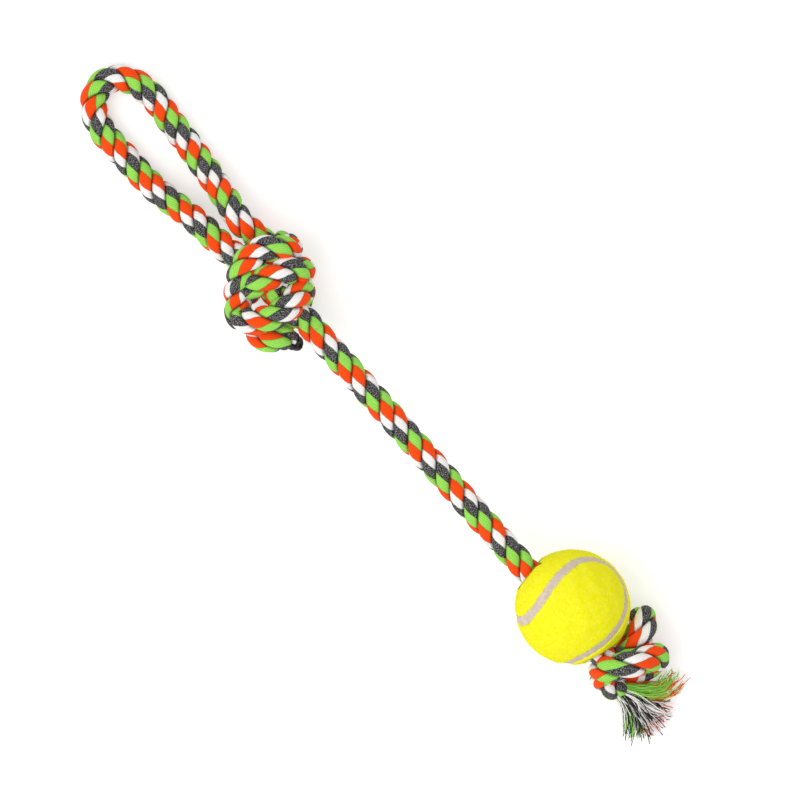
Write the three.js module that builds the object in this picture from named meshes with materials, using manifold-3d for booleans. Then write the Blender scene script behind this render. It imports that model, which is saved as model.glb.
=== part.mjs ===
// Rope tug toy: a felt tennis ball threaded on a laid cotton rope with a hand loop at one end
// and a stopper knot with a frayed tassel at the other.
// Millimetres, +Z up. The toy lies on the floor, z = 0, with its hand loop at -X and its tassel at +X.

import * as THREE from 'three';
import { mergeVertices } from 'three/addons/utils/BufferGeometryUtils.js';
import Module from 'manifold-3d';

const wasm = await Module();
wasm.setup();

// Ball
const BALL_RADIUS = 32.5;
const FELT_THICKNESS = 3;
const RUBBER_THICKNESS = 3.5;
const SEAM_WIDTH = 5;
const SEAM_RECESS = 0.4;
const SEAM_SWING = 0.217; // share of the radius in the seam curve's second wave
const SEAM_TURN_DEG = [125, -128, -18]; // about X, then Y, then Z
const BORE_OFF_CENTRE = 5.6; // the rope passes this far to the -Y side of the ball's centre
const BORE_CLEARANCE = 0.5;
const MOUTH_FLARE = 2.2;
const MOUTH_DEPTH = 4.5;

// Rope
const ROPE_DIAMETER = 16;
const ROPE_SIDES = 8;
const ROPE_STEP = 6; // length of one step along a rope run
const KNOT_PIECE = 40; // a knot's run is joined from pieces this long, so that it may press on itself
const KNOT_LAP = 1.5; // how far two of those pieces overlap
const SHAFT_RISE = 24.5; // how far the shaft is above a rope that lies on the floor
const SHAFT_LENGTH = 246; // straight rope between the two knots
const BALL_SEAT = 0.6; // free length of rope between the ball and the stopper knot's mouth
const TIP_DIAMETER = 9.5;
const TIP_END_DIAMETER = 7;
const TIP_LENGTH = 6;

// Tassel: twelve plies, laid out in columns across the rope's end and rows up it
const PLY_DIAMETER = 3.4;
const PLY_GAP = 0.5;
const PLY_STEPS = 5;
const PLY_SIDES = 6;
const PLY_ROOT_DIAMETER = 2.7; // the rounded end of a ply inside the knot
const PLY_ROOT_REACH = 6.5; // a ply's root lies this far behind the line that the tassel bends about
const PLY_LENGTHS = [22, 26, 24, 29]; // past that line, one for each column
const PLY_BENDS = [0.35, 0.7, 1]; // where a ply turns, as shares of its length
const PLY_FALL = 0.9; // the share of its length in which a ply drops to what it lies on
const PLY_FAN_DEG = [-30, -9, 13, 70]; // one for each column
const PLY_ROW_FAN_DEG = 4; // each row turns this much more than the row under it
const PLY_COLOURS = [
  ['charcoal', 'green', 'white'],
  ['orange', 'white', 'charcoal'],
  ['orange', 'charcoal', 'white'],
  ['green', 'orange', 'green'],
];

// Gap between pieces that touch, and how far the cuts reach past what they cut
const FIT_GAP = 0.3;
const CUT_MARGIN = 1;
const CUT_REACH = 500; // past the toy's ends

// Facets
const FELT_SEGMENTS = 36;
const RUBBER_SEGMENTS = 24;
const SEAM_STEPS = 72;
const ROUND_SEGMENTS = 20;
const MERGE_DISTANCE = 1e-4; // corners closer than this are one
const SEAM_NUDGE = 1e-3; // step along the seam's curve that gives its direction

// Worked out
const ROPE_RADIUS = ROPE_DIAMETER / 2;
const SHAFT_HEIGHT = ROPE_RADIUS + SHAFT_RISE;
const PLY_PITCH = PLY_DIAMETER + PLY_GAP;
const PLY_MIDDLE_COLUMN = (PLY_COLOURS.length - 1) / 2;
const PLY_MIDDLE_ROW = (PLY_COLOURS[0].length - 1) / 2;
const BORE_RADIUS = ROPE_RADIUS + BORE_CLEARANCE;
const RUBBER_OUTER = BALL_RADIUS - FELT_THICKNESS - FIT_GAP;
const ORIGIN = new THREE.Vector3();
const ALONG = new THREE.Vector3(1, 0, 0);
const ACROSS = new THREE.Vector3(0, 1, 0);
const BALL_CENTRE = new THREE.Vector3(0, BORE_OFF_CENTRE, BALL_RADIUS);
const BORE_RISE = SHAFT_HEIGHT - BALL_RADIUS;
const BALL_EXIT = Math.sqrt(BALL_RADIUS ** 2 - BORE_OFF_CENTRE ** 2 - BORE_RISE ** 2);
const SHAFT_END = BALL_EXIT + BALL_SEAT;
const SHAFT_START = SHAFT_END - SHAFT_LENGTH;

// Rope runs, as points chosen by hand. X is measured from the run's own end of the shaft, Y from the
// shaft's axis, and the third number is the rise above a rope that lies on the floor.
// The hand loop's two legs meet the handle knot here.
const UPPER_LEG = [-75, 9.4, 14];
const LOWER_LEG = [-75, -7.8, 14];
// The hand loop runs from the upper leg, round the far end, to the lower leg.
const LOOP_ROUTE = [
  UPPER_LEG,
  [-87, 11.5, 10.5],
  [-105, 14, 5],
  [-124, 16, 1.5],
  [-143, 17.5, 0.2],
  [-161, 19, 0],
  [-175, 16, 0],
  [-183.2, 8.5, 0],
  [-184.5, -0.5, 0],
  [-179, -9.5, 0],
  [-165, -15, 0],
  [-143, -15.3, 0.2],
  [-124, -14.8, 1.5],
  [-105, -11.8, 5],
  [-87, -8.6, 10.5],
  LOWER_LEG,
];
// The lower leg goes straight through the handle knot and becomes the shaft.
const STANDING_ROUTE = [
  LOWER_LEG,
  [-63, -6, 16.5],
  [-49, -0.5, 20],
  [-38, -1, 27],
  [-29, -3.5, 31],
  [-20, -2.5, 28.5],
  [-9, 0, SHAFT_RISE],
  [0, 0, SHAFT_RISE],
];
// The upper leg dips under the standing rope, wraps it, and ends in the short tail.
const TAIL_ROUTE = [
  UPPER_LEG,
  [-65, 10.5, 12.5],
  [-55, 11.5, 9.5],
  [-46, 10.5, 4],
  [-39, 10, 0.5],
  [-34.5, 12.5, 1],
  [-31.5, 15.5, 6],
  [-30.5, 17, 18],
  [-31.5, 15, 31],
  [-35.5, 11.5, 37],
  [-38.5, 5, 39],
  [-41, -5, 38],
  [-43, -11, 32],
  [-42, -13, 22],
  [-43, -13, 10],
  [-49, -9, -0.5],
  [-55, 2, -1.6],
  [-54, 11.5, -0.5],
  [-49, 18.5, 7],
  [-44.5, 19.7, 20],
  [-44.5, 17.7, 33],
  [-49, 15, 38],
  [-54, 7.5, 39],
  [-54.5, -3, 38.5],
  [-51, -11, 35.5],
  [-46, -17.5, 31],
  [-40, -22.5, 28.5],
  [-34.5, -26.5, 29],
  [-29, -24.5, 34],
  [-23.5, -17, 38],
  [-20.5, -8, 39],
  [-20, 0, 37.5],
  [-21.5, 6.5, 32],
  [-22, 9.5, 20.5],
  [-20.5, 7, 8],
  [-17, 0, -0.5],
  [-17, -11, -1.6],
  [-20.5, -19.5, 3],
  [-20, -24.5, 12],
  [-17, -24.5, 20.5],
  [-12.5, -21, 24.5],
  [-9.5, -16.5, 24],
  [-6.5, -13.5, 20.5],
  [-3, -13, 17],
];
// The shaft leaves the ball and ties the stopper knot.
const STOPPER_ROUTE = [
  [0, 0, SHAFT_RISE],
  [5, 2, 23],
  [8.5, 8, 21.5],
  [9, 15, 20],
  [6.5, 22, 18],
  [2.5, 28, 14.5],
  [-1, 31, 9],
  [-0.5, 30, 3],
  [3, 25, 0],
  [5, 17, -0.5],
  [7, 8, -1],
  [11.5, 2, -1.6],
  [18, 6, -1.2],
  [20.5, 14, 2],
  [21, 20.5, 8],
  [20, 22.5, 17],
  [18, 19, 27.5],
  [14.5, 11.5, 34],
  [10.5, 4, 35],
  [7, -1.5, 31.5],
  [6, -6, 22],
  [9, -8, 14],
  [15, -7.5, 9.5],
  [20.5, -5, 7],
  [25, -3, 5],
  [29.5, -2, 4.5],
];

// Where the loop and the tassel bend on their knots: each about a line along Y
const LOOP_HINGE_X = SHAFT_START + UPPER_LEG[0];
const TASSEL_HINGE = place(STOPPER_ROUTE.at(-1), SHAFT_END);

const COLOURS = {
  rope: 0xb5683c,
  felt: 0xe6e61a,
  seam: 0xcfc0ba,
  rubber: 0x4a3a34,
  sealed: 0x1a1a1c,
  orange: 0xf9500f,
  green: 0x8cd650,
  white: 0xe6e3e2,
  charcoal: 0x3c3a3e,
};

function place([x, y, rise], from) {
  return new THREE.Vector3(from + x, y, ROPE_RADIUS + rise);
}

// Solids and cuts

function solid(geometry) {
  const bare = geometry.clone();
  bare.deleteAttribute('normal');
  bare.deleteAttribute('uv');
  const merged = mergeVertices(bare, MERGE_DISTANCE);
  const corners = merged.index.array;
  const triangles = [];
  for (let i = 0; i < corners.length; i += 3) {
    const [a, b, c] = corners.slice(i, i + 3);
    if (a !== b && b !== c && c !== a) triangles.push(a, b, c);
  }
  const mesh = new wasm.Mesh({
    numProp: 3,
    vertProperties: new Float32Array(merged.attributes.position.array),
    triVerts: new Uint32Array(triangles),
  });
  return new wasm.Manifold(mesh);
}

function geometryOf(body) {
  const mesh = body.getMesh();
  const geometry = new THREE.BufferGeometry();
  geometry.setAttribute('position', new THREE.BufferAttribute(mesh.vertProperties, 3));
  geometry.setIndex(new THREE.BufferAttribute(mesh.triVerts, 1));
  geometry.computeVertexNormals();
  return geometry;
}

function sphere(radius, centre, segments) {
  const geometry = new THREE.SphereGeometry(radius, segments, segments / 2);
  return solid(geometry.translate(...centre));
}

function cylinderAlong(axis, startRadius, endRadius, length, centre) {
  const geometry = new THREE.CylinderGeometry(endRadius, startRadius, length, ROUND_SEGMENTS);
  const turn = new THREE.Quaternion().setFromUnitVectors(new THREE.Vector3(0, 1, 0), axis);
  return solid(geometry.applyQuaternion(turn).translate(...centre));
}

// A box from one corner to the other
function block(low, high) {
  const size = high.clone().sub(low);
  const geometry = new THREE.BoxGeometry(...size);
  return solid(geometry.translate(...low.clone().lerp(high, 0.5)));
}

// Rope

class Stretch extends THREE.Curve {
  constructor(curve, from, to) {
    super();
    Object.assign(this, { curve, from, to });
  }
  getPoint(t, target = new THREE.Vector3()) {
    return this.curve.getPointAt(THREE.MathUtils.lerp(this.from, this.to, t), target);
  }
}

function tube(curve, diameter, sides, steps) {
  const section = new THREE.Shape();
  for (let i = 0; i < sides; i++) {
    const angle = (2 * Math.PI * i) / sides;
    const point = [(diameter / 2) * Math.cos(angle), (diameter / 2) * Math.sin(angle)];
    if (i === 0) section.moveTo(...point);
    else section.lineTo(...point);
  }
  section.closePath();
  return solid(new THREE.ExtrudeGeometry(section, { extrudePath: curve, steps, bevelEnabled: false }));
}

function ropeCurve(route, from) {
  return new THREE.CatmullRomCurve3(route.map((point) => place(point, from)), false, 'centripetal');
}

function ropeTube(curve) {
  return tube(curve, ROPE_DIAMETER, ROPE_SIDES, Math.ceil(curve.getLength() / ROPE_STEP));
}

// The outer skin of a body, with any pocket that its passes close off filled in
function filled(body) {
  return body.decompose().reduce((most, next) => (next.volume() > most.volume() ? next : most));
}

function lengthAlong(body) {
  const { min, max } = body.boundingBox();
  return max[0] - min[0];
}

// A run that presses on itself, joined piece by piece
function knottedRun(curve) {
  const length = curve.getLength();
  const count = Math.ceil(length / KNOT_PIECE);
  const lap = KNOT_LAP / length;
  let run = null;
  for (let i = 0; i < count; i++) {
    const piece = ropeTube(new Stretch(curve, i / count, Math.min(1, (i + 1) / count + lap)));
    run = run ? run.add(piece) : piece;
  }
  return run;
}

function trimToFloor(body) {
  const low = new THREE.Vector3(-CUT_REACH, -CUT_REACH, 0);
  const high = new THREE.Vector3(CUT_REACH, CUT_REACH, CUT_REACH);
  return body.intersect(block(low, high));
}

function handleLoop() {
  const curve = ropeCurve(LOOP_ROUTE, SHAFT_START);
  let loop = ropeTube(curve);
  for (const end of [curve.getPoint(0), curve.getPoint(1)]) {
    loop = loop.add(sphere(ROPE_RADIUS, end, ROPE_SIDES));
  }
  return loop;
}

function handleKnot() {
  const standing = knottedRun(ropeCurve(STANDING_ROUTE, SHAFT_START));
  const knot = standing.add(knottedRun(ropeCurve(TAIL_ROUTE, SHAFT_START)));
  const stubFace = LOOP_HINGE_X + ROPE_RADIUS + FIT_GAP;
  const low = new THREE.Vector3(stubFace, -CUT_REACH, -CUT_REACH);
  const high = new THREE.Vector3(CUT_REACH, CUT_REACH, CUT_REACH);
  return trimToFloor(filled(knot)).intersect(block(low, high));
}

function tailTip() {
  const curve = ropeCurve(TAIL_ROUTE, SHAFT_START);
  const along = curve.getTangent(1);
  const centre = curve.getPoint(1).addScaledVector(along, FIT_GAP + TIP_LENGTH / 2);
  return cylinderAlong(along, TIP_DIAMETER / 2, TIP_END_DIAMETER / 2, TIP_LENGTH, centre);
}

function shaftCylinder(radius, length) {
  const centre = new THREE.Vector3(SHAFT_START + SHAFT_LENGTH / 2, 0, SHAFT_HEIGHT);
  return cylinderAlong(ALONG, radius, radius, length, centre);
}

function ropeShaft() {
  return shaftCylinder(ROPE_RADIUS, SHAFT_LENGTH - 2 * FIT_GAP);
}

// Room for the plies' roots as the tassel lifts
function tasselRoom() {
  const radius = PLY_ROOT_REACH + PLY_DIAMETER / 2 + FIT_GAP;
  const length = PLY_PITCH * (PLY_COLOURS.length - 1) + PLY_DIAMETER + 2 * FIT_GAP;
  return cylinderAlong(ACROSS, radius, radius, length, TASSEL_HINGE);
}

function stopperKnot() {
  const knot = trimToFloor(filled(knottedRun(ropeCurve(STOPPER_ROUTE, SHAFT_END))));
  const ballSeat = sphere(BALL_RADIUS + FIT_GAP, BALL_CENTRE, FELT_SEGMENTS);
  const shaftSeat = shaftCylinder(ROPE_RADIUS + FIT_GAP, SHAFT_LENGTH);
  return knot.subtract(ballSeat).subtract(shaftSeat).subtract(tasselRoom());
}

// The rounded end of a ply, with its poles along X
function plyRoot(centre) {
  const geometry = new THREE.SphereGeometry(PLY_ROOT_DIAMETER / 2, PLY_SIDES, PLY_SIDES / 2);
  return solid(geometry.rotateZ(Math.PI / 2).translate(...centre));
}

// A ply leaves its root level, then fans out and drops to the floor or to the ply under it
function tasselPly(column, row) {
  const across = (column - PLY_MIDDLE_COLUMN) * PLY_PITCH;
  const up = (row - PLY_MIDDLE_ROW) * PLY_PITCH;
  const fanDeg = PLY_FAN_DEG[column] + (row - PLY_MIDDLE_ROW) * PLY_ROW_FAN_DEG;
  const fan = THREE.MathUtils.degToRad(fanDeg);
  const bend = TASSEL_HINGE.clone().add(new THREE.Vector3(0, across, up));
  const root = bend.clone().addScaledVector(ALONG, -Math.sqrt(PLY_ROOT_REACH ** 2 - up ** 2));
  const drop = bend.z - PLY_DIAMETER / 2 - row * PLY_PITCH;
  const points = [root, bend];
  for (const share of PLY_BENDS) {
    const turn = fan * Math.sqrt(share);
    const reach = PLY_LENGTHS[column] * share;
    const fall = drop * THREE.MathUtils.smoothstep(share, 0, PLY_FALL);
    const step = new THREE.Vector3(reach * Math.cos(turn), reach * Math.sin(turn), -fall);
    points.push(bend.clone().add(step));
  }
  const ply = tube(new THREE.CatmullRomCurve3(points), PLY_DIAMETER, PLY_SIDES, PLY_STEPS);
  return ply.add(plyRoot(root));
}

// Ball, in its own frame: centre at the origin, bore along X

const BORE_CENTRE = new THREE.Vector3(0, -BORE_OFF_CENTRE, BORE_RISE);

function bore() {
  return cylinderAlong(ALONG, BORE_RADIUS, BORE_RADIUS, CUT_REACH, BORE_CENTRE);
}

// The felt turns in at each mouth of the bore
function mouthFlare(side) {
  const length = 2 * MOUTH_DEPTH;
  const flare = (MOUTH_FLARE * length) / MOUTH_DEPTH;
  const centre = BORE_CENTRE.clone().addScaledVector(ALONG, side * BALL_EXIT);
  return cylinderAlong(ALONG.clone().multiplyScalar(side), BORE_RADIUS, BORE_RADIUS + flare, length, centre);
}

// The seam: the closed curve (a cos t + b cos 3t, a sin t - b sin 3t, 2 sqrt(ab) sin 2t) on the ball
function seamPoint(t) {
  const b = SEAM_SWING;
  const a = 1 - b;
  const point = new THREE.Vector3(
    a * Math.cos(t) + b * Math.cos(3 * t),
    a * Math.sin(t) - b * Math.sin(3 * t),
    2 * Math.sqrt(a * b) * Math.sin(2 * t),
  );
  const [x, y, z] = SEAM_TURN_DEG.map(THREE.MathUtils.degToRad);
  return point.applyEuler(new THREE.Euler(x, y, z, 'ZYX'));
}

// A closed band that follows the seam, with a four-cornered section
function seamRing(innerRadius, outerRadius, width) {
  const corners = [];
  const faces = [];
  for (let i = 0; i < SEAM_STEPS; i++) {
    const t = (2 * Math.PI * i) / SEAM_STEPS;
    const out = seamPoint(t);
    const ahead = seamPoint(t + SEAM_NUDGE).sub(seamPoint(t - SEAM_NUDGE));
    const side = new THREE.Vector3().crossVectors(out, ahead).normalize().multiplyScalar(width / 2);
    const inner = out.clone().multiplyScalar(innerRadius);
    const outer = out.clone().multiplyScalar(outerRadius);
    corners.push(...inner.clone().sub(side), ...inner.clone().add(side));
    corners.push(...outer.clone().add(side), ...outer.clone().sub(side));
    const here = 4 * i;
    const next = 4 * ((i + 1) % SEAM_STEPS);
    for (let k = 0; k < 4; k++) {
      const m = (k + 1) % 4;
      faces.push(here + k, here + m, next + m, here + k, next + m, next + k);
    }
  }
  const geometry = new THREE.BufferGeometry();
  geometry.setAttribute('position', new THREE.Float32BufferAttribute(corners, 3));
  geometry.setIndex(faces);
  return solid(geometry);
}

function rubberHalf(side) {
  const hollow = sphere(RUBBER_OUTER - RUBBER_THICKNESS, ORIGIN, RUBBER_SEGMENTS);
  const shell = sphere(RUBBER_OUTER, ORIGIN, RUBBER_SEGMENTS).subtract(hollow);
  const low = new THREE.Vector3(side > 0 ? FIT_GAP / 2 : -CUT_REACH, -CUT_REACH, -CUT_REACH);
  const high = new THREE.Vector3(side > 0 ? CUT_REACH : -FIT_GAP / 2, CUT_REACH, CUT_REACH);
  return shell.intersect(block(low, high)).subtract(bore());
}

// The two panels, first the one that is longer along the rope
function feltPanels() {
  const inner = BALL_RADIUS - FELT_THICKNESS;
  let felt = sphere(BALL_RADIUS, ORIGIN, FELT_SEGMENTS).subtract(sphere(inner, ORIGIN, FELT_SEGMENTS));
  felt = felt.subtract(bore()).subtract(mouthFlare(-1)).subtract(mouthFlare(1));
  const groove = seamRing(inner - CUT_MARGIN, BALL_RADIUS + CUT_MARGIN, SEAM_WIDTH);
  const panels = felt.subtract(groove).decompose();
  return panels.sort((a, b) => lengthAlong(b) - lengthAlong(a));
}

function seamBand() {
  const inner = BALL_RADIUS - FELT_THICKNESS;
  return seamRing(inner, BALL_RADIUS - SEAM_RECESS, SEAM_WIDTH - 2 * FIT_GAP);
}

// Assembly

function piece(name, body, colour, roughness) {
  const material = new THREE.MeshStandardMaterial({ color: COLOURS[colour], roughness, metalness: 0 });
  const mesh = new THREE.Mesh(geometryOf(body), material);
  mesh.name = name;
  return mesh;
}

const ball = new THREE.Group();
ball.position.copy(BALL_CENTRE);
ball.add(piece('rubber_half_front', rubberHalf(-1), 'rubber', 0.8));
ball.add(piece('rubber_half_rear', rubberHalf(1), 'rubber', 0.8));
feltPanels().forEach((panel, i) => ball.add(piece(`felt_panel_${'ab'[i]}`, panel, 'felt', 0.95)));
ball.add(piece('seam_band', seamBand(), 'seam', 0.7));

const rope = new THREE.Group();
rope.add(piece('handle_loop', handleLoop(), 'rope', 0.9));
rope.add(piece('handle_knot', handleKnot(), 'rope', 0.9));
rope.add(piece('tail_tip', tailTip(), 'sealed', 0.5));
rope.add(piece('rope_shaft', ropeShaft(), 'rope', 0.9));
rope.add(piece('stopper_knot', stopperKnot(), 'rope', 0.9));

const tassel = new THREE.Group();
const made = {};
PLY_COLOURS.forEach((colours, column) => {
  colours.forEach((colour, row) => {
    made[colour] = (made[colour] ?? 0) + 1;
    tassel.add(piece(`tassel_${colour}_${made[colour]}`, tasselPly(column, row), colour, 0.95));
  });
});

// The part's origin is on the floor under the middle of the toy.
const toy = new THREE.Group();
toy.add(ball, rope, tassel);
const extent = new THREE.Box3().setFromObject(toy, true);
const middle = extent.getCenter(new THREE.Vector3());
toy.position.set(-middle.x, -middle.y, -extent.min.z);

const part = new THREE.Group();
part.name = 'rope_tug_toy';
part.add(toy);

export default part;
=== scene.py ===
# Looks of a rope tug toy: a felt tennis ball threaded on a laid cotton rope, with a hand loop and a handle
# knot at one end and a stopper knot with a frayed tassel at the other. Lengths are in metres, in the part's
# own frame.
import math

import bpy
import numpy as np
from mathutils import Matrix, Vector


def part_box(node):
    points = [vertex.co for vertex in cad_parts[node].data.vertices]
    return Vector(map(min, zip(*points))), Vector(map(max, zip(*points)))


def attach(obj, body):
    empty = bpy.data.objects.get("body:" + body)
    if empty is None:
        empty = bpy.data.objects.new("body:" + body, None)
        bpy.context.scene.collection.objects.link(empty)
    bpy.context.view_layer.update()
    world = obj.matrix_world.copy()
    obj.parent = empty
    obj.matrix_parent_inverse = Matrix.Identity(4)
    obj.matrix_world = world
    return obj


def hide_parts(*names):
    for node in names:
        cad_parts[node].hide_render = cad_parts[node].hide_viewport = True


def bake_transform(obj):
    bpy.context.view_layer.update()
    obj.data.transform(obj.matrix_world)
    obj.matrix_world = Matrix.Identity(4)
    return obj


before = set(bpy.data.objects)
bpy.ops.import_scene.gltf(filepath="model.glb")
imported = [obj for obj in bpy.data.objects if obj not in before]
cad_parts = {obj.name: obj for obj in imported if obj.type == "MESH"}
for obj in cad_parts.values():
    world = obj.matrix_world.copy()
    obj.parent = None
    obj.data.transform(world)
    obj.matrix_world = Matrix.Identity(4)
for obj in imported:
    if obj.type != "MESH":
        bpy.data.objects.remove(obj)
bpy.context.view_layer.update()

MM = 0.001
TURN = 2 * math.pi
UP = np.array([0.0, 0.0, 1.0])
ALONG = np.array([1.0, 0.0, 0.0])
ACROSS = np.array([0.0, 1.0, 0.0])

# Rope
ROPE_RADIUS = 8 * MM
STRANDS = 3
PLIES = 4
# Lay of each run, and of the stopper knot's front pass: the length of one turn of the strands, the turns of a
# strand's plies in that length, against the lay, and the turns of strands and plies where the shaft ends, if
# all the rope were laid as that run is
TAIL_LAY = (32.75 * MM, 1.23, -0.06, 1.145)
LOOP_LAY = (32.0 * MM, 1.15, 0.575, 0.916)
SHAFT_LAY = (35.8 * MM, 1.22, -0.26, -0.265)
STOPPER_LAY = (39.5 * MM, 1.15, -0.197, -0.092)
FRONT_PASS_LAY = (39.5 * MM, 1.25, -0.643, 0.046)
# Where one lay goes over into the next: distances before the loop, and then into the stopper knot
TAIL_LAY_CHANGE = (60 * MM, 5 * MM)
STOPPER_LAY_CHANGE = 18 * MM
FRONT_PASS_LAY_CHANGE = (46 * MM, 124 * MM)
PLY_LEAN = 0.22  # how far the plies bunch on the outside of a strand
PLY_EDGES = (0, 1.02, 2.06, 3.2, 4)  # where charcoal, green, orange and white begin and end round a strand
STRAND_PLY_SHIFT = (2.84, 3.82, 1.6)  # in plies, one for each strand
STRAND_OFFSET = 4.05 * MM
STRAND_HALF_DEPTH = 3.95 * MM
STRAND_HALF_WIDTH = 4.95 * MM
PLY_GROOVE = 0.28 * MM
ROPE_STEP = 0.8 * MM
ROPE_COLUMNS = 44
FIT_GAP = 0.3 * MM
TIP_NECK = (-2 * MM, 12 * MM)  # from the rope's first point, where it draws in to the sealed tip
TIP_NECK_LEAST = 0.42
TASSEL_OPENING = 15 * MM  # the end of the rope over which it opens into yarns
TASSEL_NECK_LEAST = 0.3
STRAND_FIBRES = 4500  # loose fibres on a metre of strand
HANDLE_KNOT_FIBRES = 3500
FIBRE_LENGTHS = (0.6 * MM, 1.9 * MM)
FIBRE_LIFTS = (0.25, 0.9)
FIBRE_SWAY = 0.8
FIBRE_RADIUS = 0.035 * MM
FIBRE_ROOT = 0.1 * MM  # how deep a fibre starts, on the rope and on the felt
FLOOR_PRESS = 0.4 * MM

# Rope runs, repeated from the part: X from the run's own end of the shaft, Y from the shaft's axis, and the
# rise above a rope that lies on the floor, in millimetres
SHAFT_RISE = 24.5
UPPER_LEG = (-75, 9.4, 14)
LOWER_LEG = (-75, -7.8, 14)
LOOP_ROUTE = [
    UPPER_LEG, (-87, 11.5, 10.5), (-105, 14, 5), (-124, 16, 1.5), (-143, 17.5, 0.2), (-161, 19, 0),
    (-175, 16, 0), (-183.2, 8.5, 0), (-184.5, -0.5, 0), (-179, -9.5, 0), (-165, -15, 0), (-143, -15.3, 0.2),
    (-124, -14.8, 1.5), (-105, -11.8, 5), (-87, -8.6, 10.5), LOWER_LEG,
]
STANDING_ROUTE = [
    LOWER_LEG, (-63, -6, 16.5), (-49, -0.5, 20), (-38, -1, 27), (-29, -3.5, 31), (-20, -2.5, 28.5),
    (-9, 0, SHAFT_RISE), (0, 0, SHAFT_RISE),
]
TAIL_ROUTE = [
    UPPER_LEG, (-65, 10.5, 12.5), (-55, 11.5, 9.5), (-46, 10.5, 4), (-39, 10, 0.5), (-34.5, 12.5, 1),
    (-31.5, 15.5, 6), (-30.5, 17, 18), (-31.5, 15, 31), (-35.5, 11.5, 37), (-38.5, 5, 39), (-41, -5, 38),
    (-43, -11, 32), (-42, -13, 22), (-43, -13, 10), (-49, -9, -0.5), (-55, 2, -1.6), (-54, 11.5, -0.5),
    (-49, 18.5, 7), (-44.5, 19.7, 20), (-44.5, 17.7, 33), (-49, 15, 38), (-54, 7.5, 39), (-54.5, -3, 38.5),
    (-51, -11, 35.5), (-46, -17.5, 31), (-40, -22.5, 28.5), (-34.5, -26.5, 29), (-29, -24.5, 34),
    (-23.5, -17, 38), (-20.5, -8, 39), (-20, 0, 37.5), (-21.5, 6.5, 32), (-22, 9.5, 20.5), (-20.5, 7, 8),
    (-17, 0, -0.5), (-17, -11, -1.6), (-20.5, -19.5, 3), (-20, -24.5, 12), (-17, -24.5, 20.5),
    (-12.5, -21, 24.5), (-9.5, -16.5, 24), (-6.5, -13.5, 20.5), (-3, -13, 17),
]
STOPPER_ROUTE = [
    (0, 0, SHAFT_RISE), (5, 2, 23), (8.5, 8, 21.5), (9, 15, 20), (6.5, 22, 18), (2.5, 28, 14.5),
    (-1, 31, 9), (-0.5, 30, 3), (3, 25, 0), (5, 17, -0.5), (7, 8, -1), (11.5, 2, -1.6), (18, 6, -1.2),
    (20.5, 14, 2), (21, 20.5, 8), (20, 22.5, 17), (18, 19, 27.5), (14.5, 11.5, 34), (10.5, 4, 35),
    (7, -1.5, 31.5), (6, -6, 22), (9, -8, 14), (15, -7.5, 9.5), (20.5, -5, 7), (25, -3, 5),
    (29.5, -2, 4.5),
]
SHAFT_SPANS = 6

# Sealed tip
TIP_OVERLAP = 4 * MM
TIP_PROFILE = [  # reach from its start and radius, in millimetres
    (0, 4.6), (1.2, 4.9), (2.8, 4.8), (5, 4.5), (7.2, 4.0), (8.6, 3.3), (9.4, 2.0), (9.7, 0.3),
]
TIP_ROWS = 40
TIP_COLUMNS = 48

# Tassel: the values of the plies are the part's, but for the last fan angle, which comes nearer to the photo
PLY_DIAMETER = 3.4 * MM
PLY_PITCH = 3.9 * MM
PLY_LENGTHS = (22 * MM, 26 * MM, 24 * MM, 29 * MM)
PLY_BENDS = (0.35, 0.7, 1.0)
PLY_FALL = 0.9
PLY_FAN_DEG = (-30, -9, 13, 84)
PLY_ROW_FAN_DEG = 4
PLY_COLOURS = (
    ("charcoal", "green", "white"),
    ("orange", "white", "charcoal"),
    ("orange", "charcoal", "white"),
    ("green", "orange", "green"),
)
YARN_ROOT_REACH = 12 * MM  # how far inside the rope's end the yarns begin
YARN_ROOT_PACK = 0.4  # how close the plies lie there, as a share of their pitch
YARNS_IN_PLY = {"charcoal": 36, "green": 27, "orange": 27, "white": 24}
YARN_RADIUS = 0.34 * MM
YARN_STATIONS = 16
YARN_SIDES = 5
YARN_SPLAY = {"charcoal": 5.8 * MM, "green": 5 * MM, "orange": 6 * MM, "white": 4.5 * MM}
# The least and the most share of a ply's length that its yarns reach, column by column
YARN_REACH = ((0.66, 0.96), (0.66, 0.96), (0.66, 0.96), (0.5, 0.86))
FAN_COLUMNS = 3
WANDERING_COLOURS = ("charcoal", "white")
LOW_YARN_TURN = 0.62  # in half turns from straight up, how far round a low ply's yarns spread
YARN_WAVE = 0.9 * MM
HAIRS_IN_PLY = 9
HAIR_RADIUS = 0.07 * MM
HAIR_SPLAY = 8 * MM

# Ball
BALL_RADIUS = 32.5 * MM
BORE_RADIUS = 8.5 * MM
SEAM_WIDTH = 5 * MM
SEAM_RECESS = 0.5 * MM
SEAM_SWING = 0.217
SEAM_TURN_DEG = (125, -128, -18)
SEAM_STATIONS = 720
SEAM_COLUMNS = 20
SEAM_UNDERLAP = 0.5 * MM
SEAM_HALF_DEPTH = 0.8 * MM
SEAM_CUT_CLEARANCE = 0.6 * MM  # from the seam's line to the felt's cut edge, under the cement
FELT_ROWS = 230
FELT_COLUMNS = 300
FELT_EDGE_DROP = 1.3 * MM
FELT_EDGE_ROUND = 1.1 * MM
MOUTH_CLEARANCE = 0.4 * MM
MOUTH_REACH = 2.4 * MM  # how far out from the bore the felt begins to turn in
MOUTH_SINK = 2.2 * MM
MOUTH_WALL = 1.4 * MM
MOUTH_ROWS = 20
MOUTH_BEND_SHARE = 0.7
MOUTH_NICK = 3.4 * MM  # in the front mouth alone
MOUTH_NICK_PLACE = 0.92  # radians round the bore, from +Y
MOUTH_NICK_ANGLE = 0.12
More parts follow.
